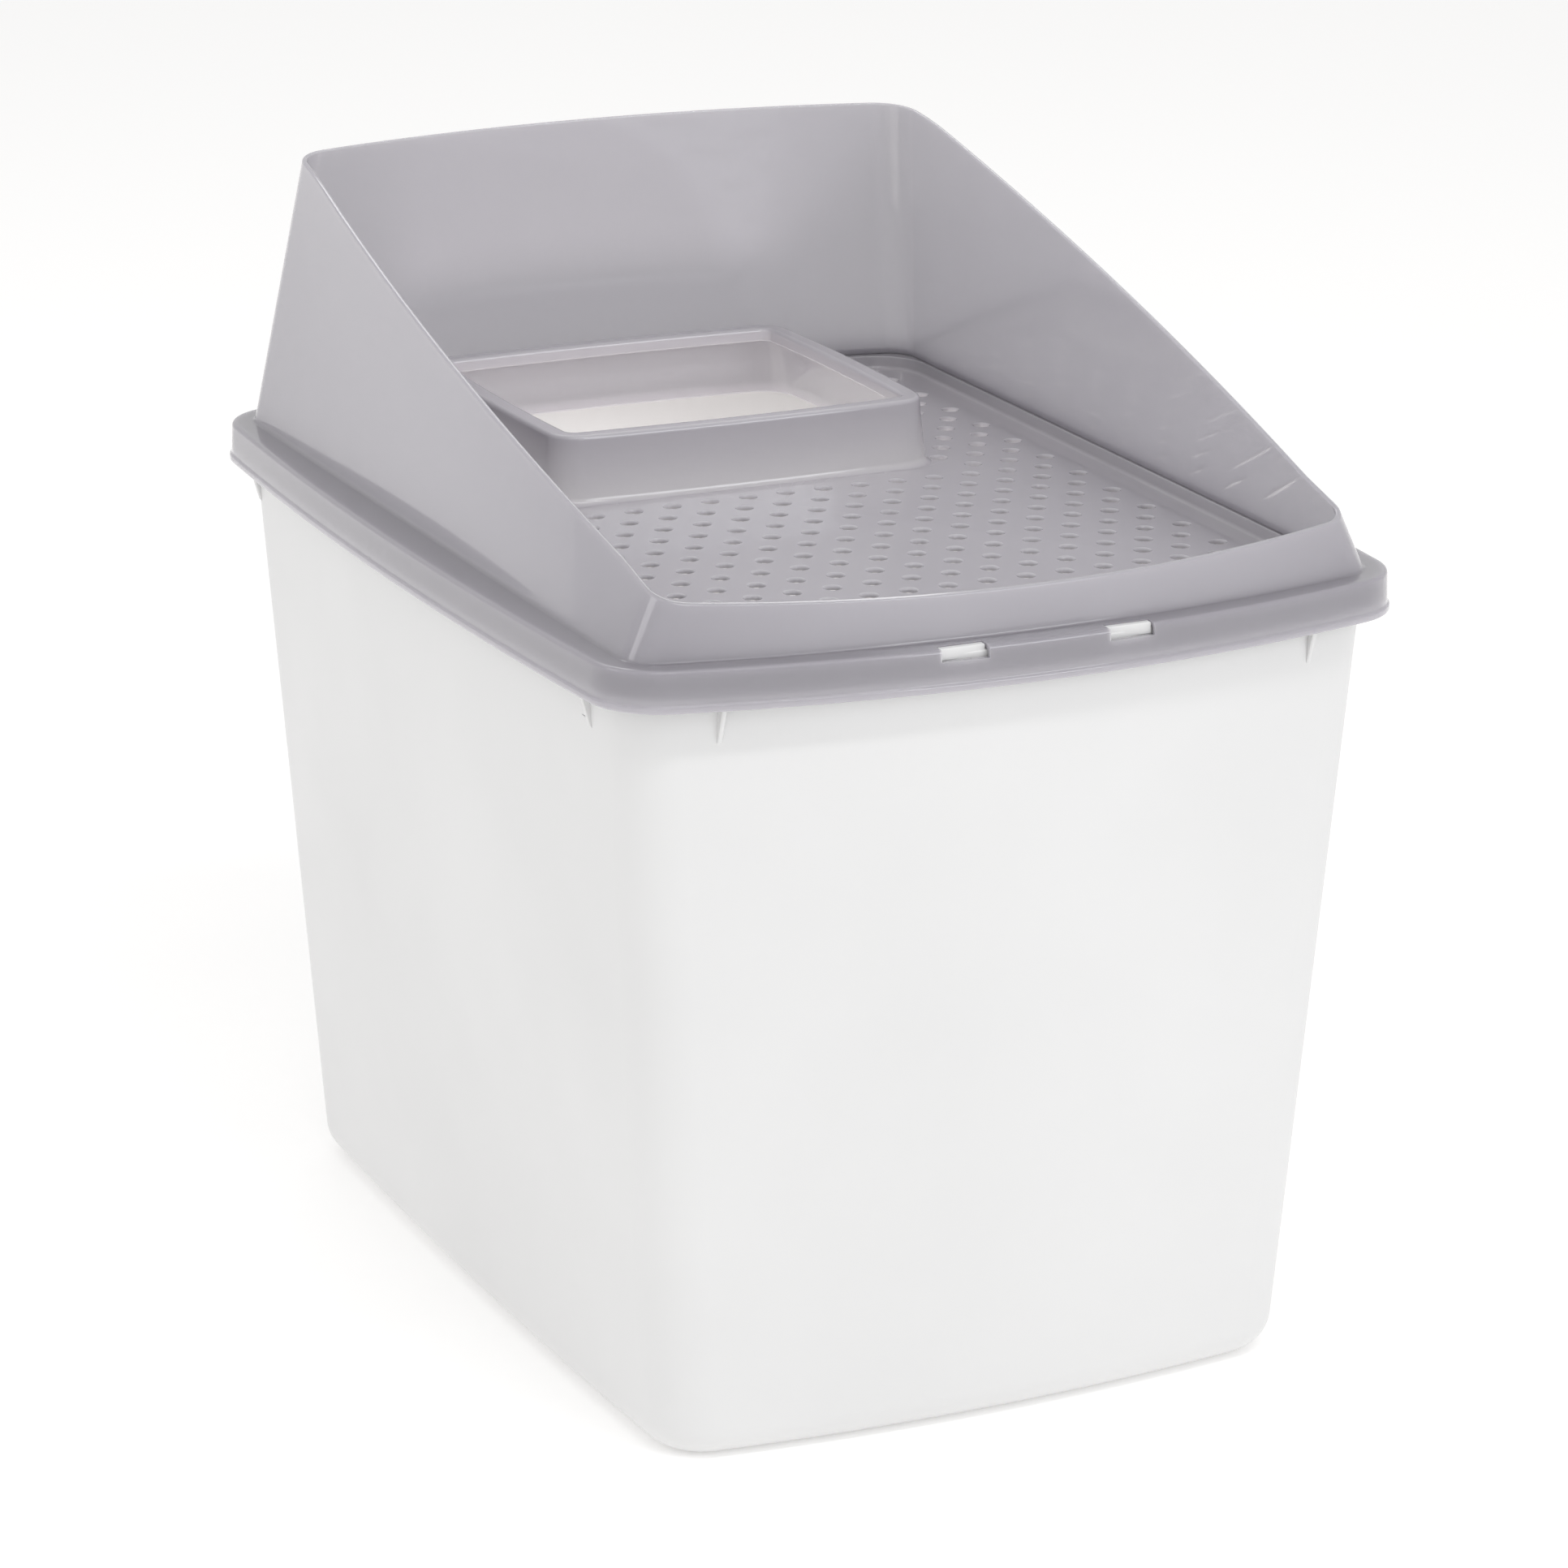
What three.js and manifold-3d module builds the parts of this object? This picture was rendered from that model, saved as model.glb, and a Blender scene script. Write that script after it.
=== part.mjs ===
// Top-entry cat litter box with a surround hood, in millimetres, +Z up.
// Origin: on the floor, under the centre of the box. Front is -Y, back is +Y, +X is the right side seen from the front.
//
// Three injection mouldings: a white tub, a perforated deck with a raised entry collar that drops into the tub's mouth,
// and a grey surround hood that caps both. The deck lifts out of the tub, and the hood lifts off the deck.
import * as THREE from "three";
import Module from "manifold-3d";

// ---------------------------------------------------------------- driving dimensions
const HALF_W = 200; // half width over the hood's skirt
const HALF_D = 267; // half depth over the hood's skirt
const BOW_F = 19.3; // how far the front and back edges bow out between the corners
const BOW_S = 7.2; // the same for the side edges
const CORNER_R = 33.9; // skirt corner radius

const SKIRT_Z = 357.8; // bottom of the skirt
const FLANGE_Z = 376.2; // top of the hood's flange
const WALL_Z = 377; // where the hood wall leaves the flange
const LIP_Z = 392.6; // top of the low front lip
const BACK_Z = 509.2; // top of the tall back wall
const SLOPE = 0.257; // fall of the side walls' top edge, mm per mm towards the front
const SLOPE_Z0 = 460.5; // height of that sloping edge at y = 0
const WALL_T = 2.6; // hood wall thickness
const WALL_A = 179.8; // hood wall half width at its foot
const WALL_B = 252.2; // hood wall half depth at its foot
const LEAN_Y = 0.176; // lean of the back wall, mm per mm of height; the low front lip stands upright
const WALL_BOW_F = 18.3;
const WALL_BOW_S = 0.6;
const WALL_R = 17;
const TOP_A = 172.3; // half width along the side walls' top edge, at its widest
const TOP_Y = -30; // where that is
const TOP_CURVE = 0.00019; // how fast it narrows towards the front and the back, mm per mm squared
const WINDOW_X = 40; // the two slots over the snap positions, either side of the centre
const WINDOW_W = 22;
const WINDOW_IN = 8.6; // how far a slot runs in from the skirt
const TAB_W = 21; // upright tabs on the tub's rim that stand in those slots
const TAB_IN = [4.9, 8.1];
const TAB_Z = 376; // top of the tabs, just under the flange's top face
const WINDOW_Z = 370.8; // lower edge of a slot in the skirt

const TUB_A = 189; // tub half width at the height of the skirt's bottom
const TUB_B = 256; // tub half depth there
const BASE_A = 161.3; // tub half width at the floor
const BASE_B = 227.9; // tub half depth at the floor
const BASE_BOW_F = 8.2;
const BASE_BOW_S = 3.9;
const TUB_R = 29.7; // tub corner radius
const TUB_T = 2.8; // tub wall
const FLOOR_T = 3; // tub floor
const FOOT_R = 16; // rounding along the tub's bottom edge
const RIM_Z = 373.5; // top of the tub's out-turned rim
const SHOULDER_Z = 371; // recessed shoulder inside the rim, where the deck rests
const RIM_LIP_Z = 362.6; // lower edge of the rim's turned-down lip
const RIB_X = 142.5; // gusset ribs on the front and back faces
const RIB_Y = [-193, 211]; // gusset ribs on the side faces
const RIB_XZ = 341; // lower ends of the front and back ribs
const RIB_YZ = 340; // lower ends of the side ribs
const RIB_T = 2.2;

const GAP = 0.3;
const DECK_T = 2.2;
const DECK_Z = 367.2; // walking surface along its edge, sunk below the rim
const CROWN = 2.6; // how much higher the middle of the walking surface is
const BASIN_R = 26; // corner radius of the sunk surface
const COLLAR_Y = 126; // centre of the entry
const COLLAR_A = 98; // half width over the collar
const COLLAR_B = 88;
const COLLAR_R = 14;
const COLLAR_Z = 401; // crest of the collar
const COLLAR_W = 9; // width of the rolled crest
const INNER_Z = 394.5; // lower edge of the collar's inner skirt
const HOLE_PX = 19.5; // hole pitch along X
const HOLE_PY = 16.8; // row pitch along Y
const HOLE_R = 4.7;

// ---------------------------------------------------------------- outlines
const N_SIDE = 9;
const N_CORNER = 5;

// A circular arc through three points as centre and unit normals; a straight run if they line up.
function arc(p0, pm, p1, n, out) {
  const ax = pm[0] - p0[0], ay = pm[1] - p0[1], bx = p1[0] - p0[0], by = p1[1] - p0[1];
  const cross = ax * by - ay * bx;
  const pts = [];
  if (Math.abs(cross) < 1e-9) {
    for (let i = 0; i < n; i++) {
      const t = i / (n - 1);
      pts.push([p0[0] + bx * t, p0[1] + by * t, out[0], out[1]]);
    }
    return pts;
  }
  const a2 = ax * ax + ay * ay, b2 = bx * bx + by * by;
  const cx = p0[0] + (by * a2 - ay * b2) / (2 * cross), cy = p0[1] + (ax * b2 - bx * a2) / (2 * cross);
  const r = Math.hypot(p0[0] - cx, p0[1] - cy);
  const t0 = Math.atan2(p0[1] - cy, p0[0] - cx);
  let d = Math.atan2(p1[1] - cy, p1[0] - cx) - t0;
  d = ((((d + Math.PI) % (2 * Math.PI)) + 2 * Math.PI) % (2 * Math.PI)) - Math.PI;
  for (let i = 0; i < n; i++) {
    const t = t0 + (d * i) / (n - 1);
    pts.push([cx + r * Math.cos(t), cy + r * Math.sin(t), Math.cos(t), Math.sin(t)]);
  }
  return pts;
}

// Bowed rectangle with round corners, anticlockwise: half sizes a and b at the middle of the sides, bow of the front and
// back edges sf, bow of the sides ss, corner radius r.
function outline(a, b, sf, ss, r, n = N_SIDE, nc = N_CORNER) {
  const ai = a - r, bi = b - r, cx = ai - ss, cy = bi - sf;
  const segs = [
    [[cx, -cy], [ai, 0], [cx, cy], [1, 0]],
    [[cx, cy], [0, bi], [-cx, cy], [0, 1]],
    [[-cx, cy], [-ai, 0], [-cx, -cy], [-1, 0]],
    [[-cx, -cy], [0, -bi], [cx, -cy], [0, -1]],
  ].map((s) => arc(s[0], s[1], s[2], n, s[3]));
  const out = [];
  segs.forEach((s, i) => {
    for (const p of s) out.push([p[0] + r * p[2], p[1] + r * p[3]]);
    const e = s[n - 1], f = segs[(i + 1) % 4][0];
    const t0 = Math.atan2(e[3], e[2]);
    let d = Math.atan2(f[3], f[2]) - t0;
    d = ((((d + Math.PI) % (2 * Math.PI)) + 2 * Math.PI) % (2 * Math.PI)) - Math.PI;
    for (let k = 1; k <= nc; k++) {
      const t = t0 + (d * k) / (nc + 1);
      out.push([e[0] + r * Math.cos(t), e[1] + r * Math.sin(t)]);
    }
  });
  return out;
}

const at = (o, z) => o.map(([x, y]) => [x, y, z]);
// The skirt's outline moved in by d.
const inset = (d) => outline(HALF_W - d, HALF_D - d, BOW_F, BOW_S, CORNER_R - d);
// The tub wall's outer face at height z, moved in by d.
function tubAt(z, d = 0) {
  const t = z / SKIRT_Z;
  const mix = (p, q) => p + (q - p) * t;
  return outline(mix(BASE_A, TUB_A) - d, mix(BASE_B, TUB_B) - d, mix(BASE_BOW_F, BOW_F), mix(BASE_BOW_S, BOW_S), TUB_R - d);
}

// ---------------------------------------------------------------- solids
const wasm = await Module();
wasm.setup();

// A skin through rings of equal length. Rings run up the outside first. Closed: the last joins the first. Open: both ends capped.
function loft(rings, closed) {
  const m = rings[0].length, pos = [], tri = [];
  for (const r of rings) for (const p of r) pos.push(p[0], p[1], p[2]);
  const last = closed ? rings.length : rings.length - 1;
  for (let k = 0; k < last; k++) {
    const a = k * m, b = ((k + 1) % rings.length) * m;
    for (let i = 0; i < m; i++) {
      const j = (i + 1) % m;
      tri.push(a + i, a + j, b + j, a + i, b + j, b + i);
    }
  }
  if (!closed) {
    for (const [k, up] of [[0, false], [rings.length - 1, true]]) {
      const c = pos.length / 3, r = rings[k];
      pos.push(r.reduce((s, p) => s + p[0], 0) / m, r.reduce((s, p) => s + p[1], 0) / m, r[0][2]);
      for (let i = 0; i < m; i++) {
        const j = (i + 1) % m;
        if (up) tri.push(c, k * m + i, k * m + j);
        else tri.push(c, k * m + j, k * m + i);
      }
    }
  }
  return solid(pos, tri);
}
function solid(pos, tri) {
  const mesh = new wasm.Mesh({ numProp: 3, vertProperties: new Float32Array(pos), triVerts: new Uint32Array(tri) });
  return new wasm.Manifold(mesh);
}
// An upright prism from a plan outline.
const prism = (o, z0, z1) => loft([at(o, z0), at(o, z1)], false);
const rect = (x0, x1, y0, y1) => [[x1, y0], [x1, y1], [x0, y1], [x0, y0]];
function toMesh(name, body, material) {
  const m = body.getMesh();
  const g = new THREE.BufferGeometry();
  g.setAttribute("position", new THREE.BufferAttribute(new Float32Array(m.vertProperties), 3));
  g.setIndex(new THREE.BufferAttribute(new Uint32Array(m.triVerts), 1));
  g.computeVertexNormals();
  const mesh = new THREE.Mesh(g, material);
  mesh.name = name;
  return mesh;
}

// ---------------------------------------------------------------- tub
// Where a line from the inside leaves an outline: along y at a given x, or along x at a given y.
function edge(o, axis, v, sign) {
  const other = 1 - axis;
  let best = 0;
  for (let i = 0; i < o.length; i++) {
    const p = o[i], q = o[(i + 1) % o.length];
    if ((p[axis] - v) * (q[axis] - v) > 0 || p[axis] === q[axis]) continue;
    const w = p[other] + ((q[other] - p[other]) * (v - p[axis])) / (q[axis] - p[axis]);
    if (sign * w > 0) best = w;
  }
  return best;
}

function makeTub() {
  const foot = (z, d) => at(tubAt(z, d), z);
  const under = SHOULDER_Z - 2.4;
  let tub = loft(
    [
      ...[0, 30, 60, 90].map((a) => foot(FOOT_R * (1 - Math.cos((a * Math.PI) / 180)), FOOT_R * (1 - Math.sin((a * Math.PI) / 180)))), // rounded foot
      foot(under, 0), // outer wall
      at(inset(7.0), under), at(inset(6.9), RIM_LIP_Z), // under the rim, inside of the turned-down lip
      at(inset(4.9), RIM_LIP_Z), at(inset(4.8), RIM_Z - 1), at(inset(5.8), RIM_Z), // lip and rim edge
      at(inset(9.6), RIM_Z), at(inset(9.9), SHOULDER_Z), // recess for the deck
      at(inset(15.2), SHOULDER_Z), at(inset(15.4), under), // shoulder
      foot(under - 3, TUB_T), foot(FOOT_R, TUB_T), foot(7.2, TUB_T + 3.6), foot(FLOOR_T, TUB_T + 13),
    ],
    false,
  );
  // Gusset ribs under the rim, one each side of every corner.
  for (const s of [-1, 1]) {
    for (const side of [-1, 1]) {
      for (const axis of [0, 1]) {
        const v = axis === 0 ? RIB_X * side : RIB_Y[side > 0 ? 1 : 0], z0 = axis === 0 ? RIB_XZ : RIB_YZ;
        const w = (z) => edge(tubAt(z), axis, v, s), w2 = edge(inset(6), axis, v, s);
        const profile = [[w(z0) - s * 1.4, z0 - 1], [w(z0) + s * 0.6, z0], [w2, RIM_LIP_Z + 0.6], [w2, under + 0.8], [w(under) - s * 1.4, under + 0.4]];
        const pos = [], tri = [];
        const n = profile.length;
        for (const e of [-1, 1]) {
          for (const [q, z] of profile) pos.push(...(axis === 0 ? [v + (e * RIB_T) / 2, q, z] : [q, v + (e * RIB_T) / 2, z]));
        }
        for (let i = 0; i < n; i++) {
          const j = (i + 1) % n;
          tri.push(i, j, n + j, i, n + j, n + i);
        }
        for (let i = 1; i < n - 1; i++) tri.push(0, i + 1, i, n, n + i, n + i + 1);
        // Wind the rib outwards whichever way it is mirrored.
        const flip = (axis === 0 ? s : -s) > 0;
        if (flip) for (let i = 0; i < tri.length; i += 3) [tri[i + 1], tri[i + 2]] = [tri[i + 2], tri[i + 1]];
        tub = tub.add(solid(pos, tri));
      }
    }
  }
  // Locating tabs on the rim, front and back.
  for (const fb of [-1, 1]) {
    for (const s of [-1, 1]) {
      const x0 = s * WINDOW_X - TAB_W / 2, x1 = s * WINDOW_X + TAB_W / 2;
      const y = TAB_IN.map((d) => fb * Math.abs(edge(inset(d), 0, s * WINDOW_X, fb))).sort((p, q) => p - q);
      tub = tub.add(prism(rect(x0, x1, y[0], y[1]), SHOULDER_Z, TAB_Z));
    }
  }
  return tub;
}

// ---------------------------------------------------------------- deck
function collarRing(d, z) {
  return outline(COLLAR_A + d, COLLAR_B + d, 2.5, 2, COLLAR_R + d, 3, 3).map(([x, y]) => [x, y + COLLAR_Y, z]);
}
function inside(o, x, y) {
  let c = false;
  for (let i = 0, j = o.length - 1; i < o.length; j = i++) {
    if (o[i][1] > y !== o[j][1] > y && x < ((o[j][0] - o[i][0]) * (y - o[i][1])) / (o[j][1] - o[i][1]) + o[i][0]) c = !c;
  }
  return c;
}

// The sunk walking surface's plan, just inside the hood wall and moved in by d, and its crowned height.
const plan = (d) => outline(WALL_A - WALL_T - 0.9 - d, WALL_B - WALL_T - 0.9 - d, WALL_BOW_F, WALL_BOW_S, BASIN_R - d);
function crowned(k, dz) {
  return plan(4).map(([x, y]) => [x * k, y * k, DECK_Z + CROWN * (1 - k * k) + dz]);
}

function makeDeck() {
  const z0 = SHOULDER_Z + GAP, z1 = z0 + DECK_T;
  // Crowned plate: its underside from the middle outwards, up to the edge flange, down into the basin and back to the middle.
  let deck = loft(
    [
      ...[0.12, 0.4, 0.7, 1].map((k) => crowned(k, -DECK_T)),
      at(plan(-1.6), DECK_Z - 0.6), at(plan(-2.2), z0), at(inset(10.4), z0), at(inset(10.4), z1), at(plan(0), z1), at(plan(0.4), DECK_Z + 2.4), at(plan(1.6), DECK_Z + 0.6),
      ...[1, 0.7, 0.4, 0.12].map((k) => crowned(k, 0)),
    ],
    false,
  );
  // Entry collar: an outer wall, a rolled crest and a shorter inner skirt, hollow from below.
  const low = DECK_Z - DECK_T;
  deck = deck.add(loft(
    [
      collarRing(6.4, low + 0.8), collarRing(4.4, DECK_Z + 6), collarRing(0, COLLAR_Z - 4.4),
      collarRing(-1.3, COLLAR_Z - 1.3), collarRing(-4.4, COLLAR_Z),
    ],
    false,
  ));
  deck = deck.subtract(loft(
    [
      collarRing(-COLLAR_W, low - 6), collarRing(-COLLAR_W, INNER_Z), collarRing(-COLLAR_W + 0.6, COLLAR_Z - 4.4),
      collarRing(-COLLAR_W + 1.7, COLLAR_Z - 1.3), collarRing(-COLLAR_W + 4.3, COLLAR_Z), collarRing(-COLLAR_W + 4.3, COLLAR_Z + 4),
    ],
    false,
  ));
  const hollow = loft(
    [collarRing(4.4, low - 6), collarRing(4.0, low), collarRing(2.0, DECK_Z + 6), collarRing(-2.2, COLLAR_Z - 5.4), collarRing(-2.6, COLLAR_Z - 3)],
    false,
  );
  const skirt = loft([collarRing(-COLLAR_W + 2.0, INNER_Z), collarRing(-COLLAR_W + 2.4, COLLAR_Z)], false);
  deck = deck.subtract(hollow.subtract(skirt));
  // Staggered litter holes over the walking surface in front of the collar and beside it.
  const field = wallAt(DECK_Z, 20);
  const keep = outline(COLLAR_A + 10, COLLAR_B + 10, 2, 2, COLLAR_R, 3, 3).map(([x, y]) => [x, y + COLLAR_Y]);
  const pos = [], tri = [];
  for (let j = -6; j <= 24; j++) {
    for (let i = -10; i <= 10; i++) {
      const x = (i + (j & 1 ? 0 : 0.5)) * HOLE_PX, y = -150 + j * HOLE_PY;
      if (!inside(field, x, y) || inside(keep, x, y) || y > COLLAR_Y + COLLAR_B - 6) continue;
      const base = pos.length / 3;
      for (const z of [DECK_Z - DECK_T - 2, DECK_Z + CROWN + 2]) {
        for (let k = 0; k < 4; k++) pos.push(x + HOLE_R * Math.cos((k * Math.PI) / 2), y + HOLE_R * Math.sin((k * Math.PI) / 2), z);
      }
      for (let k = 0; k < 4; k++) {
        const l = (k + 1) % 4;
        tri.push(base + k, base + l, base + 4 + l, base + k, base + 4 + l, base + 4 + k);
      }
      tri.push(base, base + 2, base + 1, base, base + 3, base + 2, base + 4, base + 5, base + 6, base + 4, base + 6, base + 7);
    }
  }
  return deck.subtract(solid(pos, tri));
}

// ---------------------------------------------------------------- hood
// Height of the wall's top edge: level at the back, sloping down the sides, level again along the front lip.
function topZ(y) {
  const line = SLOPE_Z0 + SLOPE * y;
  const soft = (v, w) => (v <= -w ? 0 : v >= w ? v : ((v + w) * (v + w)) / (4 * w)); // max(v, 0) with a rounded corner
  const z = LIP_Z + soft(line - LIP_Z, 5);
  return BACK_Z - soft(BACK_Z - z, 7);
}
// The wall's outer face at height z, moved in by d: upright along the front, leaning in at the back, and each side wall
// runs straight from the foot to its own narrower top edge.
function wallAt(z, d = 0) {
  const h = Math.max(0, z - WALL_Z), r = WALL_R + 0.035 * h - Math.min(d, WALL_R - 6);
  const front = outline(WALL_A - d, WALL_B - d, WALL_BOW_F, WALL_BOW_S, r);
  const back = outline(WALL_A - d, WALL_B - LEAN_Y * h - d, WALL_BOW_F, WALL_BOW_S, r);
  return front.map((p, k) => {
    const [x, y] = p[1] < 0 ? p : back[k];
    const top = TOP_A - TOP_CURVE * (Math.max(y, -190) - TOP_Y) ** 2;
    return [x * (1 - ((1 - top / WALL_A) * h) / (topZ(y) - WALL_Z)), y];
  });
}
function wallTop(d, dz) {
  const first = wallAt(LIP_Z, d);
  return first.map((p, k) => {
    let q = p, z = LIP_Z;
    for (let it = 0; it < 30; it++) {
      z = topZ(q[1]) + dz;
      q = wallAt(z, d)[k];
    }
    return [q[0], q[1], z];
  });
}

function makeHood() {
  let hood = loft(
    [
      at(inset(3.2), SKIRT_Z), at(inset(0.6), SKIRT_Z), at(inset(0), SKIRT_Z + 0.9), at(inset(0), SKIRT_Z + 2.4),
      at(inset(0.9), SKIRT_Z + 3.4), at(inset(1.5), FLANGE_Z - 2.6), at(inset(2.2), FLANGE_Z - 0.9), at(inset(3.9), FLANGE_Z - 0.1),
      at(wallAt(WALL_Z, -1.5), WALL_Z - 0.2), at(wallAt(WALL_Z + 1.2), WALL_Z + 1.2), // flange and the foot of the wall
      wallTop(0, -0.8), wallTop(0.8, 0), wallTop(WALL_T - 0.8, 0), wallTop(WALL_T, -0.8), // rounded top edge
      at(wallAt(RIM_Z + GAP, WALL_T), RIM_Z + GAP),
      at(inset(4.6), RIM_Z + GAP), at(inset(4.0), RIM_Z - 0.4),
    ],
    true,
  );
  for (const fb of [-1, 1]) {
    for (const s of [-1, 1]) {
      const x0 = s * WINDOW_X - WINDOW_W / 2, x1 = s * WINDOW_X + WINDOW_W / 2;
      const y = Math.abs(edge(inset(0), 0, s * WINDOW_X, fb));
      const [ya, yb] = fb < 0 ? [-y - 3, -y + WINDOW_IN] : [y - WINDOW_IN, y + 3];
      hood = hood.subtract(prism(rect(x0, x1, ya, yb), WINDOW_Z, FLANGE_Z + 6));
    }
  }
  return hood;
}

// ---------------------------------------------------------------- assembly
const white = new THREE.MeshStandardMaterial({ color: 0xecebea, roughness: 0.42, metalness: 0 });
const grey = new THREE.MeshStandardMaterial({ color: 0xa8a6aa, roughness: 0.3, metalness: 0 });

const group = new THREE.Group();
group.add(toMesh("tub", makeTub(), white));
group.add(toMesh("perforated_deck", makeDeck(), grey));
group.add(toMesh("hood", makeHood(), grey));
for (const c of group.children) c.geometry.computeBoundingBox();

export default group;
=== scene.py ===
import math

import bpy
import numpy as np
from mathutils import Matrix


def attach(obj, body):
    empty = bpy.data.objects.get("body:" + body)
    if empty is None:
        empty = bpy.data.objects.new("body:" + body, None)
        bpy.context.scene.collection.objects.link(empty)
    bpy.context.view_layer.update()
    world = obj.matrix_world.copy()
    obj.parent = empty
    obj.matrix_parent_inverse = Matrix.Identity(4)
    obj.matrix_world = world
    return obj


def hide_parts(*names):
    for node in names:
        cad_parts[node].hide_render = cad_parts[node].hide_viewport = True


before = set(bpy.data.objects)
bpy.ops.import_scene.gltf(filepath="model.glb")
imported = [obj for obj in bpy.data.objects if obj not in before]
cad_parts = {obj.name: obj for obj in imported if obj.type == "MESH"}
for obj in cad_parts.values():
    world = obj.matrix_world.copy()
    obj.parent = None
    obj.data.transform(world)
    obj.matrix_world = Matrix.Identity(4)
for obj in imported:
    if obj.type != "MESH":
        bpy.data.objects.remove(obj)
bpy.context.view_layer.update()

# ------------------------------------------------------------------ dimensions, the CAD's own, in millimetres
HALF_W, HALF_D, BOW_F, BOW_S, CORNER_R = 200, 267, 19.3, 7.2, 33.9
SKIRT_Z, FLANGE_Z, WALL_Z, LIP_Z, BACK_Z = 357.8, 376.2, 377, 392.6, 509.2
SLOPE, SLOPE_Z0, WALL_T = 0.257, 460.5, 2.6
WALL_A, WALL_B, LEAN_Y, WALL_BOW_F, WALL_BOW_S, WALL_R = 179.8, 252.2, 0.176, 18.3, 0.6, 17
TOP_A, TOP_Y, TOP_CURVE = 172.3, -30, 0.00019
WINDOW_X, WINDOW_W, WINDOW_IN, WINDOW_Z = 40, 22, 8.6, 370.8
TAB_W, TAB_IN, TAB_Z = 21, (4.9, 8.1), 376
TUB_A, TUB_B, BASE_A, BASE_B = 189, 256, 161.3, 227.9
BASE_BOW_F, BASE_BOW_S, TUB_R, TUB_T, FLOOR_T, FOOT_R = 8.2, 3.9, 29.7, 2.8, 3, 16
RIM_Z, SHOULDER_Z, RIM_LIP_Z = 373.5, 371, 362.6
RIB_X, RIB_Y, RIB_XZ, RIB_YZ, RIB_T = 142.5, (-193, 211), 341, 340, 2.2
GAP, DECK_T, DECK_Z, CROWN, BASIN_R = 0.3, 2.2, 367.2, 2.6, 26
COLLAR_Y, COLLAR_A, COLLAR_B, COLLAR_R, COLLAR_Z, COLLAR_W, INNER_Z = 126, 98, 88, 14, 401, 9, 394.5
HOLE_PX, HOLE_PY, HOLE_R = 19.5, 16.8, 4.5

NS, NC = 37, 11


# ------------------------------------------------------------------ plan outlines
def arc(p0, pm, p1, n):
    ax, ay, bx, by = pm[0] - p0[0], pm[1] - p0[1], p1[0] - p0[0], p1[1] - p0[1]
    cross = ax * by - ay * bx
    a2, b2 = ax * ax + ay * ay, bx * bx + by * by
    cx, cy = p0[0] + (by * a2 - ay * b2) / (2 * cross), p0[1] + (ax * b2 - bx * a2) / (2 * cross)
    r = math.hypot(p0[0] - cx, p0[1] - cy)
    t0 = math.atan2(p0[1] - cy, p0[0] - cx)
    d = (math.atan2(p1[1] - cy, p1[0] - cx) - t0 + math.pi) % (2 * math.pi) - math.pi
    return [(cx + r * math.cos(t), cy + r * math.sin(t), math.cos(t), math.sin(t)) for t in (t0 + d * i / (n - 1) for i in range(n))]


def outline(a, b, sf, ss, r, n=NS, nc=NC):
    """Bowed rectangle with round corners, anticlockwise."""
    ai, bi = a - r, b - r
    cx, cy = ai - ss, bi - sf
    segs = [arc(*s, n) for s in (
        ((cx, -cy), (ai, 0), (cx, cy)), ((cx, cy), (0, bi), (-cx, cy)),
        ((-cx, cy), (-ai, 0), (-cx, -cy)), ((-cx, -cy), (0, -bi), (cx, -cy)))]
    out = []
    for i, s in enumerate(segs):
        out += [(p[0] + r * p[2], p[1] + r * p[3]) for p in s]
        e, f = s[-1], segs[(i + 1) % 4][0]
        t0 = math.atan2(e[3], e[2])
        d = (math.atan2(f[3], f[2]) - t0 + math.pi) % (2 * math.pi) - math.pi
        for k in range(1, nc + 1):
            t = t0 + d * k / (nc + 1)
            out.append((e[0] + r * math.cos(t), e[1] + r * math.sin(t)))
    return np.array(out)


def at(o, z):
    return np.column_stack([o, np.full(len(o), float(z))])


def inset(d):
    return outline(HALF_W - d, HALF_D - d, BOW_F, BOW_S, CORNER_R - d)


def tub_at(z, d=0.0):
    t = z / SKIRT_Z
    mix = lambda p, q: p + (q - p) * t
    return outline(mix(BASE_A, TUB_A) - d, mix(BASE_B, TUB_B) - d, mix(BASE_BOW_F, BOW_F), mix(BASE_BOW_S, BOW_S), TUB_R - d)


def top_z(y):
    def soft(v, w):
        return 0.0 if v <= -w else v if v >= w else (v + w) ** 2 / (4 * w)
    z = LIP_Z + soft(SLOPE_Z0 + SLOPE * y - LIP_Z, 5)
    return BACK_Z - soft(BACK_Z - z, 7)


def wall_at(z, d=0.0):
    h, r = max(0.0, z - WALL_Z), WALL_R + 0.035 * max(0.0, z - WALL_Z) - min(d, WALL_R - 6)
    front = outline(WALL_A - d, WALL_B - d, WALL_BOW_F, WALL_BOW_S, r)
    back = outline(WALL_A - d, WALL_B - LEAN_Y * h - d, WALL_BOW_F, WALL_BOW_S, r)
    out = []
    for p, q in zip(front, back):
        x, y = p if p[1] < 0 else q
        top = TOP_A - TOP_CURVE * (max(y, -190) - TOP_Y) ** 2
        out.append((x * (1 - (1 - top / WALL_A) * h / (top_z(y) - WALL_Z)), y))
    return np.array(out)


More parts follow.
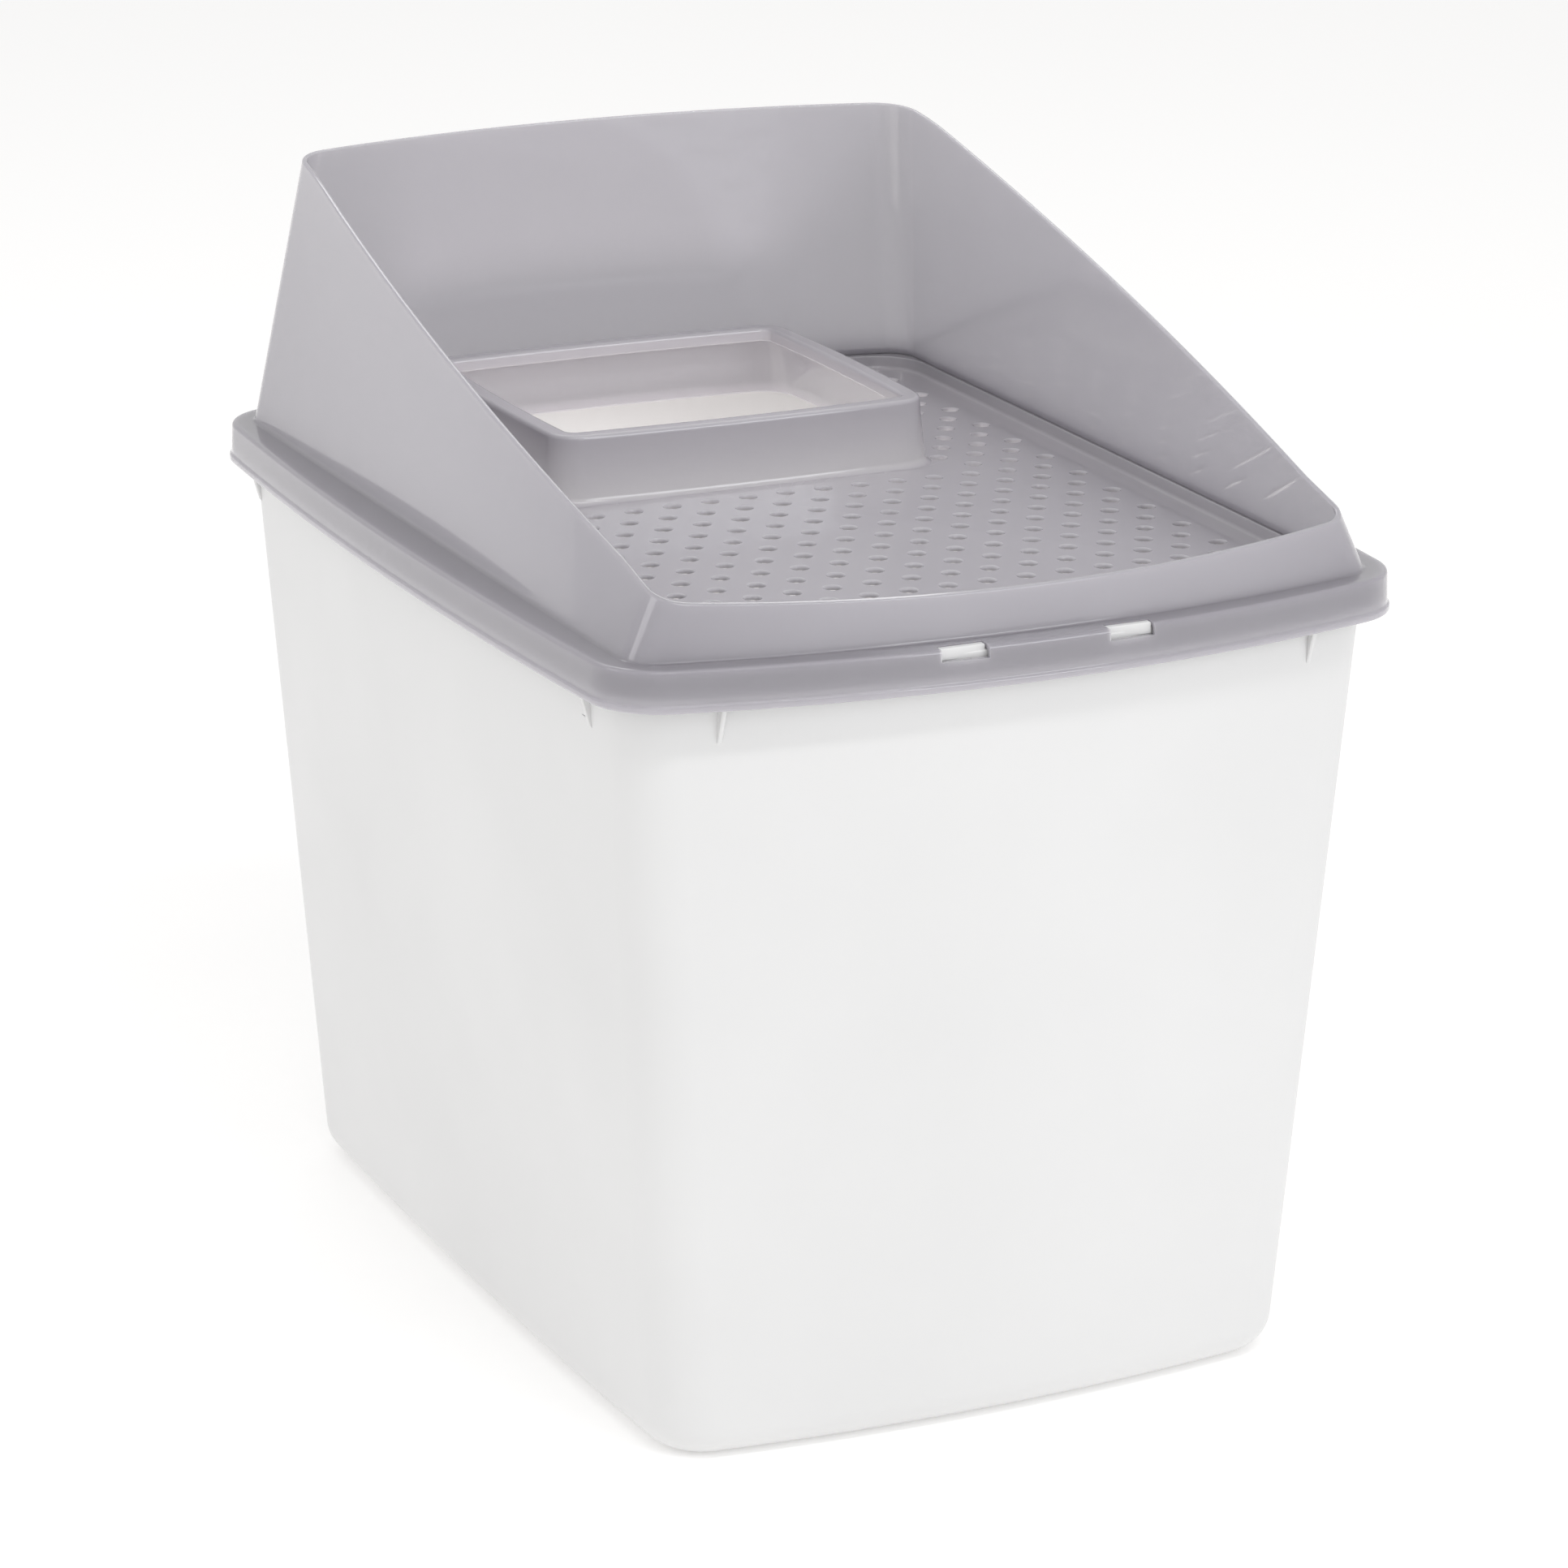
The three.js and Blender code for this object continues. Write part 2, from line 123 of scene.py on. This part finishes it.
def wall_between(d, f, dz=0.0):
    """The wall's face, moved in by d, at the share f of the way from its foot to its top edge."""
    foot, z1 = wall_at(WALL_Z, d), np.full(len(wall_at(WALL_Z, d)), LIP_Z)
    cache = {}
    pts = wall_at(LIP_Z, d)
    for _ in range(14):
        z1 = np.array([top_z(p[1]) for p in pts]) + dz
        new = []
        for k, z in enumerate(z1):
            key = round(z, 2)
            if key not in cache:
                cache[key] = wall_at(key, d)
            new.append(cache[key][k])
        pts = np.array(new)
    top = np.column_stack([pts, z1])
    if f >= 1:
        return top
    low = np.column_stack([foot, np.full(len(foot), WALL_Z)])
    return low + (top - low) * f


# ------------------------------------------------------------------ mesh helpers
def rounded(rings, radii, closed, steps=5):
    """Rounds the profile at each ring: a ring with a radius becomes a short curve of rings."""
    rings = [np.asarray(r, float) for r in rings]
    out, n = [], len(rings)
    for k, (p, r) in enumerate(zip(rings, radii)):
        ends = not closed and k in (0, n - 1)
        if r <= 0 or ends:
            out.append(p)
            continue
        a, b = rings[k - 1], rings[(k + 1) % n]
        la, lb = np.linalg.norm(a - p, axis=1)[:, None], np.linalg.norm(b - p, axis=1)[:, None]
        t = np.minimum(r, 0.48 * np.minimum(la, lb))
        p0, p1 = p + (a - p) * t / la, p + (b - p) * t / lb
        for s in np.linspace(0, 1, steps + 1):
            out.append((1 - s) ** 2 * p0 + 2 * s * (1 - s) * p + s * s * p1)
    return out


def make(name, verts, faces):
    m = bpy.data.meshes.new(name)
    m.from_pydata([tuple(v) for v in np.asarray(verts) * 0.001], [], faces)
    m.validate()
    m.update()
    o = bpy.data.objects.new(name, m)
    bpy.context.scene.collection.objects.link(o)
    return o


def loft(name, rings, closed):
    """A skin through rings that run up the outside first; capped at both ends unless closed."""
    m, n = len(rings[0]), len(rings)
    verts = np.concatenate(rings)
    faces = []
    for k in range(n if closed else n - 1):
        a, b = k * m, ((k + 1) % n) * m
        for i in range(m):
            j = (i + 1) % m
            faces.append((a + i, a + j, b + j, b + i))
    if not closed:
        extra = []
        for k, up in ((0, False), (n - 1, True)):
            c = len(verts) + len(extra)
            extra.append(rings[k].mean(axis=0))
            for i in range(m):
                j = (i + 1) % m
                faces.append((c, k * m + i, k * m + j) if up else (c, k * m + j, k * m + i))
        verts = np.concatenate([verts, np.array(extra)])
    return make(name, verts, faces)


def many(name, parts):
    """One mesh from several lists of (verts, faces)."""
    verts, faces = [], []
    for v, f in parts:
        base = len(verts)
        verts += list(v)
        faces += [tuple(base + i for i in q) for q in f]
    return make(name, np.array(verts), faces)


def boolean(o, tool, how):
    mod = o.modifiers.new("cut", "BOOLEAN")
    mod.operation = how
    mod.object = tool
    mod.solver = "MANIFOLD"
    bpy.context.view_layer.update()
    mesh = bpy.data.meshes.new_from_object(o.evaluated_get(bpy.context.evaluated_depsgraph_get()))
    o.modifiers.clear()
    old, o.data = o.data, mesh
    mesh.name = o.name
    bpy.data.meshes.remove(old)
    bpy.data.objects.remove(tool)
    return o


def box_part(x0, x1, y0, y1, z0, z1):
    v = [(x, y, z) for z in (z0, z1) for x, y in ((x0, y0), (x1, y0), (x1, y1), (x0, y1))]
    f = [(3, 2, 1, 0), (4, 5, 6, 7), (0, 1, 5, 4), (1, 2, 6, 5), (2, 3, 7, 6), (3, 0, 4, 7)]
    return v, f


def finish_normals(o, angle=32):
    m = o.data
    m.shade_smooth()
    m.set_sharp_from_angle(angle=math.radians(angle))
    mod = o.modifiers.new("normals", "WEIGHTED_NORMAL")
    mod.keep_sharp = True
    mod.weight = 60
    bpy.context.view_layer.update()
    mesh = bpy.data.meshes.new_from_object(o.evaluated_get(bpy.context.evaluated_depsgraph_get()))
    o.modifiers.clear()
    old, o.data = o.data, mesh
    mesh.name = o.name
    bpy.data.meshes.remove(old)
    return o


def edge(o, axis, v, sign):
    best, other = 0.0, 1 - axis
    for p, q in zip(o, np.roll(o, -1, axis=0)):
        if (p[axis] - v) * (q[axis] - v) > 0 or p[axis] == q[axis]:
            continue
        w = p[other] + (q[other] - p[other]) * (v - p[axis]) / (q[axis] - p[axis])
        if sign * w > 0:
            best = w
    return best


# ------------------------------------------------------------------ camera
def place_camera():
    az, el, roll = (math.radians(v) for v in (-25.4455, 17.9663, 0.3586))
    back = np.array([math.sin(az) * math.cos(el), -math.cos(az) * math.cos(el), math.sin(el)])
    fwd = -back
    right = np.cross(fwd, [0, 0, 1]); right /= np.linalg.norm(right)
    up = np.cross(right, fwd)
    r2 = right * math.cos(roll) + up * math.sin(roll)
    u2 = -right * math.sin(roll) + up * math.cos(roll)
    data = bpy.data.cameras.new("camera")
    data.sensor_width = 36.0
    data.sensor_fit = "HORIZONTAL"
    data.lens = 6923.7 / 1932 * 36.0
    data.clip_end = 60
    cam = bpy.data.objects.new("camera", data)
    bpy.context.scene.collection.objects.link(cam)
    m = Matrix.Identity(4)
    for i, axis in enumerate((r2, u2, back)):
        for j in range(3):
            m[j][i] = axis[j]
    for j, v in enumerate((-1.08307, -2.27879, 1.05073)):
        m[j][3] = v
    cam.matrix_world = m
    bpy.context.scene.camera = cam


# ------------------------------------------------------------------ tub
def make_tub():
    foot = lambda z, d: at(tub_at(z, d), z)
    under = SHOULDER_Z - 2.4
    spec = [
        (foot(0, FOOT_R + 6), 0),
    ]
    spec += [(foot(FOOT_R * (1 - math.cos(t)), FOOT_R * (1 - math.sin(t))), 0) for t in np.linspace(0, math.pi / 2, 13)]
    spec += [(foot(z, 0), 0) for z in (60, 120, 180, 240, 290, 320, 332, 337, 343, 350, 357)]
    spec += [
        (foot(under, 0), 1.2), (at(inset(7.0), under), 0.8), (at(inset(6.9), RIM_LIP_Z), 0.6),
        (at(inset(4.9), RIM_LIP_Z), 0.6), (at(inset(4.85), RIM_Z), 1.1),
        (at(inset(9.6), RIM_Z), 0.5), (at(inset(9.9), SHOULDER_Z), 0.4),
        (at(inset(15.2), SHOULDER_Z), 0.6), (at(inset(15.4), under), 0.5), (foot(under - 3, TUB_T), 1.0),
    ]
    spec += [(foot(z, TUB_T), 0) for z in (300, 240, 180, 120, 60)]
    r = FOOT_R - FLOOR_T
    spec += [(foot(FLOOR_T + r * (1 - math.cos(t)), TUB_T + r * (1 - math.sin(t))), 0) for t in np.linspace(math.pi / 2, 0, 9)]
    spec += [(foot(FLOOR_T, TUB_T + 45), 0)]
    o = loft("tub_shell", rounded([s[0] for s in spec], [s[1] for s in spec], False), False)
    parts = []
    for s in (-1, 1):
        for side in (-1, 1):
            for axis in (0, 1):
                v = RIB_X * side if axis == 0 else RIB_Y[1 if side > 0 else 0]
                z0 = RIB_XZ if axis == 0 else RIB_YZ
                w = lambda z: edge(tub_at(z), axis, v, s)
                w2 = edge(inset(6), axis, v, s)
                line = [(w(z0 - 3) - s * 1.4, z0 - 3), (w(z0 - 0.6) + s * 0.15, z0 - 0.6), (w(z0) + s * 0.6, z0 + 0.2)]
                line += [(w2 - s * 0.25, RIM_LIP_Z - 1.5), (w2, RIM_LIP_Z + 0.6), (w2, under + 0.8), (w(under) - s * 1.4, under + 0.4)]
                # The rib's edge is slightly rounded: two inner lines at full width, one outer line narrower.
                verts, faces, n = [], [], len(line)
                for e, back in ((-1, 0.0), (-0.55, 0.45), (0.55, 0.45), (1, 0.0)):
                    for k, (q, z) in enumerate(line):
                        q2 = q + s * (back if 0 < k < n - 1 else 0)
                        t = e * RIB_T / 2
                        verts.append((v + t, q2, z) if axis == 0 else (q2, v + t, z))
                for c in range(3):
                    for i in range(n):
                        j = (i + 1) % n
                        faces.append((c * n + i, c * n + j, (c + 1) * n + j, (c + 1) * n + i))
                faces.append(tuple(range(n - 1, -1, -1)))
                faces.append(tuple(3 * n + i for i in range(n)))
                if (s if axis == 0 else -s) > 0:
                    faces = [f[::-1] for f in faces]
                parts.append((verts, faces))
    # Locating tabs that stand in the hood's slots, their upper edges softened.
    for fb in (-1, 1):
        for s in (-1, 1):
            ya, yb = (fb * abs(edge(inset(d), 0, s * WINDOW_X, fb)) for d in TAB_IN)
            lo, hi = min(ya, yb), max(ya, yb)
            verts, faces = [], []
            for c, z in ((0, SHOULDER_Z), (0, TAB_Z - 0.6), (0.18, TAB_Z - 0.18), (0.6, TAB_Z)):
                x0, x1 = s * WINDOW_X - TAB_W / 2 + c, s * WINDOW_X + TAB_W / 2 - c
                verts += [(x0, lo + c, z), (x1, lo + c, z), (x1, hi - c, z), (x0, hi - c, z)]
            for k in range(3):
                faces += [(k * 4 + i, k * 4 + (i + 1) % 4, k * 4 + 4 + (i + 1) % 4, k * 4 + 4 + i) for i in range(4)]
            faces += [(3, 2, 1, 0), (12, 13, 14, 15)]
            parts.append((verts, faces))
    boolean(o, many("ribs", parts), "UNION")
    return finish_normals(o)


# ------------------------------------------------------------------ deck
def plan(d):
    return outline(WALL_A - WALL_T - 0.9 - d, WALL_B - WALL_T - 0.9 - d, WALL_BOW_F, WALL_BOW_S, BASIN_R - d)


def crowned(k, dz):
    p = plan(4) * k
    return at(p, DECK_Z + 0.85 * CROWN * (1 - k * k) ** 2 + dz)


def collar_ring(d, z):
    o = outline(COLLAR_A + d, COLLAR_B + d, 2.5, 2, COLLAR_R + d, 25, 9)
    o[:, 1] += COLLAR_Y
    return at(o, z)


def inside(o, x, y):
    c, j = False, len(o) - 1
    for i in range(len(o)):
        if (o[i][1] > y) != (o[j][1] > y) and x < (o[j][0] - o[i][0]) * (y - o[i][1]) / (o[j][1] - o[i][1]) + o[i][0]:
            c = not c
        j = i
    return c


def deck_height(x, y):
    """Height of the crowned surface over a point of the plan."""
    o = plan(4)
    lo, hi = 0.0, 1.0
    for _ in range(22):
        mid = (lo + hi) / 2
        if inside(o * mid, x, y):
            hi = mid
        else:
            lo = mid
    return DECK_Z + 0.85 * CROWN * (1 - hi * hi) ** 2


def lathe_part(x, y, profile, n=20):
    """A closed solid of revolution about the upright line through x, y; profile runs upwards as (radius, z)."""
    verts, faces = [], []
    for r, z in profile:
        verts += [(x + r * math.cos(2 * math.pi * i / n), y + r * math.sin(2 * math.pi * i / n), z) for i in range(n)]
    for k in range(len(profile) - 1):
        for i in range(n):
            j = (i + 1) % n
            faces.append((k * n + i, k * n + j, (k + 1) * n + j, (k + 1) * n + i))
    faces.append(tuple(range(n - 1, -1, -1)))
    faces.append(tuple((len(profile) - 1) * n + i for i in range(n)))
    return verts, faces


def make_deck():
    z0, z1 = SHOULDER_Z + GAP, SHOULDER_Z + GAP + DECK_T
    ks = [0.06, 0.16, 0.28, 0.4, 0.52, 0.64, 0.76, 0.88, 1.0]
    rim = [
        (at(plan(-1.8), DECK_Z - 1.4), 1.6), (at(plan(-2.2), z0), 0.5), (at(inset(10.4), z0), 0.4), (at(inset(10.4), z1), 0.5),
        (at(plan(0), z1), 0.5), (at(plan(0.7), DECK_Z + 0.15), 2.2),
    ]
    spec = [(crowned(k, -DECK_T), 0) for k in ks] + rim + [(crowned(k, 0), 2.5 if k == 1.0 else 0) for k in reversed(ks)]
    o = loft("deck_plate", rounded([s[0] for s in spec], [s[1] for s in spec], False), False)
    # Opening under the collar, then the collar itself: outer wall, rolled crest, inner skirt, hollow from below.
    prism = loft("entry_cut", [collar_ring(4.2, 340), collar_ring(4.2, 380)], False)
    boolean(o, prism, "DIFFERENCE")
    r = 4.49
    crest = COLLAR_W / 2
    spec = [
        (collar_ring(7.5, DECK_Z - 0.4), 0.3), (collar_ring(6.6, DECK_Z + CROWN - 1.9), 2.0), (collar_ring(3.2, DECK_Z + CROWN + 0.4), 4.0),
        (collar_ring(0.6, COLLAR_Z - 8), 2), (collar_ring(0, COLLAR_Z), r), (collar_ring(-crest, COLLAR_Z), 0), (collar_ring(-COLLAR_W, COLLAR_Z), r),
        (collar_ring(-COLLAR_W - 0.2, INNER_Z), 0.8), (collar_ring(-COLLAR_W + 1.6, INNER_Z), 0.7),
        (collar_ring(-COLLAR_W + 2.0, COLLAR_Z - 2.2), 2.2), (collar_ring(-2.0, COLLAR_Z - 2.2), 2.2),
        (collar_ring(2.6, DECK_Z + 4), 1.5), (collar_ring(4.0, DECK_Z - DECK_T + 1.0), 0.5), (collar_ring(6.4, DECK_Z - 1.4), 0.5),
    ]
    shell = loft("collar", rounded([s[0] for s in spec], [s[1] for s in spec], True, 7), True)
    boolean(o, shell, "UNION")
    # Staggered round litter holes with softly rounded mouths.
    field = wall_at(DECK_Z, 20)
    keep = outline(COLLAR_A + 10, COLLAR_B + 10, 2, 2, COLLAR_R, 3, 3) + np.array([0, COLLAR_Y])
    parts = []
    for j in range(-6, 25):
        for i in range(-10, 11):
            x, y = (i + (0 if j % 2 else 0.5)) * HOLE_PX, -150 + j * HOLE_PY
            if not inside(field, x, y) or inside(keep, x, y) or y > COLLAR_Y + COLLAR_B - 6:
                continue
            z = deck_height(x, y)
            mouth = [(HOLE_R - 0.9 + 1.25 * (1 - math.cos(t)), z - 1.25 + 1.28 * math.sin(t)) for t in np.linspace(0, math.pi / 2, 5)]
            parts.append(lathe_part(x, y, [(HOLE_R - 0.9, z - 6)] + mouth + [(HOLE_R + 0.6, z + 3)]))
    boolean(o, many("holes", parts), "DIFFERENCE")
    return finish_normals(o, 38)


# ------------------------------------------------------------------ hood
def make_hood():
    spec = [
        (at(inset(3.2), SKIRT_Z), 0.5), (at(inset(0), SKIRT_Z), 0.9), (at(inset(0), SKIRT_Z + 2.8), 0.9),
        (at(inset(1.0), SKIRT_Z + 3.6), 0.6), (at(inset(1.5), FLANGE_Z), 2.6), (at(inset(6), FLANGE_Z), 0),
        (at(wall_at(WALL_Z, -0.4), FLANGE_Z), 2.0), (wall_between(0, 0.06), 0),
    ]
    spec += [(wall_between(0, f), 0) for f in (0.2, 0.35, 0.5, 0.65, 0.8, 0.92)]
    top0, top1 = wall_between(0, 1), wall_between(WALL_T, 1)
    spec += [(top0, 1.15), (top1, 1.15)]
    spec += [(wall_between(WALL_T, f), 0) for f in (0.92, 0.8, 0.65, 0.5, 0.35, 0.2, 0.06)]
    spec += [(at(wall_at(WALL_Z, WALL_T), RIM_Z + GAP), 0.5), (at(inset(4.0), RIM_Z + GAP), 0.8)]
    o = loft("hood_shell", rounded([s[0] for s in spec], [s[1] for s in spec], True, 6), True)
    parts = []
    for fb in (-1, 1):
        for s in (-1, 1):
            x0, x1 = s * WINDOW_X - WINDOW_W / 2, s * WINDOW_X + WINDOW_W / 2
            y = abs(edge(inset(0), 0, s * WINDOW_X, fb))
            ya, yb = (-y - 3, -y + WINDOW_IN) if fb < 0 else (y - WINDOW_IN, y + 3)
            parts.append(box_part(x0, x1, ya, yb, WINDOW_Z, FLANGE_Z + 6))
    boolean(o, many("windows", parts), "DIFFERENCE")
    return finish_normals(o)


# ------------------------------------------------------------------ materials
def plastic(name, colour, rough, grain, wave, sss, depth):
    m = bpy.data.materials.new(name)
    m.use_nodes = True
    t = m.node_tree
    t.nodes.clear()
    n = lambda kind: t.nodes.new(kind)
    out, p = n("ShaderNodeOutputMaterial"), n("ShaderNodeBsdfPrincipled")
    t.links.new(p.outputs[0], out.inputs[0])
    p.inputs["IOR"].default_value = 1.49
    p.inputs["Subsurface Weight"].default_value = sss
    p.inputs["Subsurface Radius"].default_value = (1.0, 1.0, 1.0)
    p.inputs["Subsurface Scale"].default_value = depth
    p.inputs["Coat Weight"].default_value = 0.6 if rough < 0.3 else 0.0
    p.inputs["Coat Roughness"].default_value = 0.04
    coord = n("ShaderNodeTexCoord")
    # Colour: faint flow clouding from the moulding.
    cloud = n("ShaderNodeTexNoise")
    cloud.inputs["Scale"].default_value = 5.5
    cloud.inputs["Detail"].default_value = 3
    t.links.new(coord.outputs["Object"], cloud.inputs["Vector"])
    ramp = n("ShaderNodeValToRGB")
    ramp.color_ramp.elements[0].position, ramp.color_ramp.elements[1].position = 0.3, 0.7
    ramp.color_ramp.elements[0].color = (*[c * 0.975 for c in colour], 1)
    ramp.color_ramp.elements[1].color = (*[min(1, c * 1.02) for c in colour], 1)
    t.links.new(cloud.outputs["Fac"], ramp.inputs["Fac"])
    t.links.new(ramp.outputs[0], p.inputs["Base Color"])
    # Roughness: satin with soft patches and very fine grain.
    patch = n("ShaderNodeTexNoise")
    patch.inputs["Scale"].default_value = 16
    patch.inputs["Detail"].default_value = 5
    t.links.new(coord.outputs["Object"], patch.inputs["Vector"])
    span = n("ShaderNodeMapRange")
    span.inputs["From Min"].default_value, span.inputs["From Max"].default_value = 0.3, 0.7
    span.inputs["To Min"].default_value, span.inputs["To Max"].default_value = rough * 0.86, rough * 1.14
    t.links.new(patch.outputs["Fac"], span.inputs["Value"])
    t.links.new(span.outputs[0], p.inputs["Roughness"])
    # Bump: moulded micro grain over a slow sink-mark waviness.
    fine = n("ShaderNodeTexNoise")
    fine.inputs["Scale"].default_value = 950
    fine.inputs["Detail"].default_value = 2
    slow = n("ShaderNodeTexNoise")
    slow.inputs["Scale"].default_value = 9
    slow.inputs["Detail"].default_value = 1.5
    for k in (fine, slow):
        t.links.new(coord.outputs["Object"], k.inputs["Vector"])
    b1, b2 = n("ShaderNodeBump"), n("ShaderNodeBump")
    b1.inputs["Strength"].default_value, b1.inputs["Distance"].default_value = 1.0, wave
    b2.inputs["Strength"].default_value, b2.inputs["Distance"].default_value = 1.0, grain
    t.links.new(slow.outputs["Fac"], b1.inputs["Height"])
    t.links.new(fine.outputs["Fac"], b2.inputs["Height"])
    t.links.new(b1.outputs[0], b2.inputs["Normal"])
    t.links.new(b2.outputs[0], p.inputs["Normal"])
    return m


place_camera()
tub, deck, hood = make_tub(), make_deck(), make_hood()
white = plastic("white_pp", (0.768, 0.766, 0.765), 0.34, 0.000012, 0.0005, 0.06, 0.003)
# The deck and the hood are the same grey plastic. The deck's grey is set lighter as painted light, offsetting the shade
# it lies in inside the hood. The hood's grey is set darker as painted shade, offsetting the lamp light and the light
# its walls let through.
grey_deck = plastic("grey_pp_deck", (0.455, 0.438, 0.470), 0.09, 0.000004, 0.0003, 0.5, 0.010)
grey_hood = plastic("grey_pp_hood", (0.305, 0.290, 0.323), 0.11, 0.000005, 0.0004, 0.8, 0.024)
for o, node, body, slot, mat in (
    (tub, "tub", "tub", "white_pp", white),
    (deck, "perforated_deck", "deck", "grey_pp_deck", grey_deck),
    (hood, "hood", "hood", "grey_pp_hood", grey_hood),
):
    o.data.materials.clear()
    o.data.materials.append(mat)
    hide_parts(node)
    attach(o, body)

# ------------------------------------------------------------------ floor and light
floor = make("studio_floor", [(-9000, -9000, -0.2), (9000, -9000, -0.2), (9000, 9000, -0.2), (-9000, 9000, -0.2)], [(0, 1, 2, 3)])
fm = bpy.data.materials.new("studio_floor")
fm.use_nodes = True
fp = fm.node_tree.nodes["Principled BSDF"]
fp.inputs["Base Color"].default_value = (0.93, 0.925, 0.92, 1)
fp.inputs["Roughness"].default_value = 0.9
fp.inputs["Specular IOR Level"].default_value = 0.1
fp.inputs["Emission Color"].default_value = (1, 0.995, 0.985, 1)
fp.inputs["Emission Strength"].default_value = 0.235
floor.data.materials.append(fm)

world = bpy.data.worlds.new("studio")
bpy.context.scene.world = world
world.use_nodes = True
bg = world.node_tree.nodes["Background"]
bg.inputs["Color"].default_value = (1, 1, 1, 1)
bg.inputs["Strength"].default_value = 0.72


def softbox(name, loc, target, size, power, colour=(1, 1, 1)):
    d = bpy.data.lights.new(name, "AREA")
    d.shape, d.size, d.size_y = "RECTANGLE", size[0], size[1]
    d.energy, d.color = power, colour
    o = bpy.data.objects.new(name, d)
    bpy.context.scene.collection.objects.link(o)
    loc, target = np.array(loc, float), np.array(target, float)
    back = loc - target; back /= np.linalg.norm(back)
    side = np.cross([0, 0, 1], back); side /= np.linalg.norm(side)
    up = np.cross(back, side)
    m = Matrix.Identity(4)
    for i, axis in enumerate((side, up, back)):
        for j in range(3):
            m[j][i] = axis[j]
    for j in range(3):
        m[j][3] = loc[j]
    o.matrix_world = m


softbox("key", (1.1, -2.6, 1.5), (0, 0, 0.3), (1.0, 1.2), 11.2, (0.94, 0.97, 1.0))
softbox("front_strip", (-0.2, -1.5, 2.5), (0, -0.1, 0.4), (2.0, 0.16), 14)
softbox("side_strip", (-2.1, 0.1, 2.2), (0, 0, 0.4), (2.0, 0.14), 2)
softbox("side_patch", (-2.5, 0.2, 1.4), (0, -0.1, 0.4), (0.8, 0.8), 3.2)
softbox("back_strip", (0.5, 1.9, 2.3), (0, 0, 0.4), (1.6, 0.3), 4)
# Light that the thin white wall lets into the tub.
softbox("glow", (-0.01, 0.03, 0.20), (-0.01, 0.256, 0.24), (0.16, 0.14), 0.6, (1, 0.965, 0.94))
glow_object = bpy.data.objects["glow"]
glow_object.visible_camera = False
glow_object.visible_glossy = False
bpy.context.scene.view_settings.view_transform = "Standard"
bpy.context.scene.view_settings.look = "None"

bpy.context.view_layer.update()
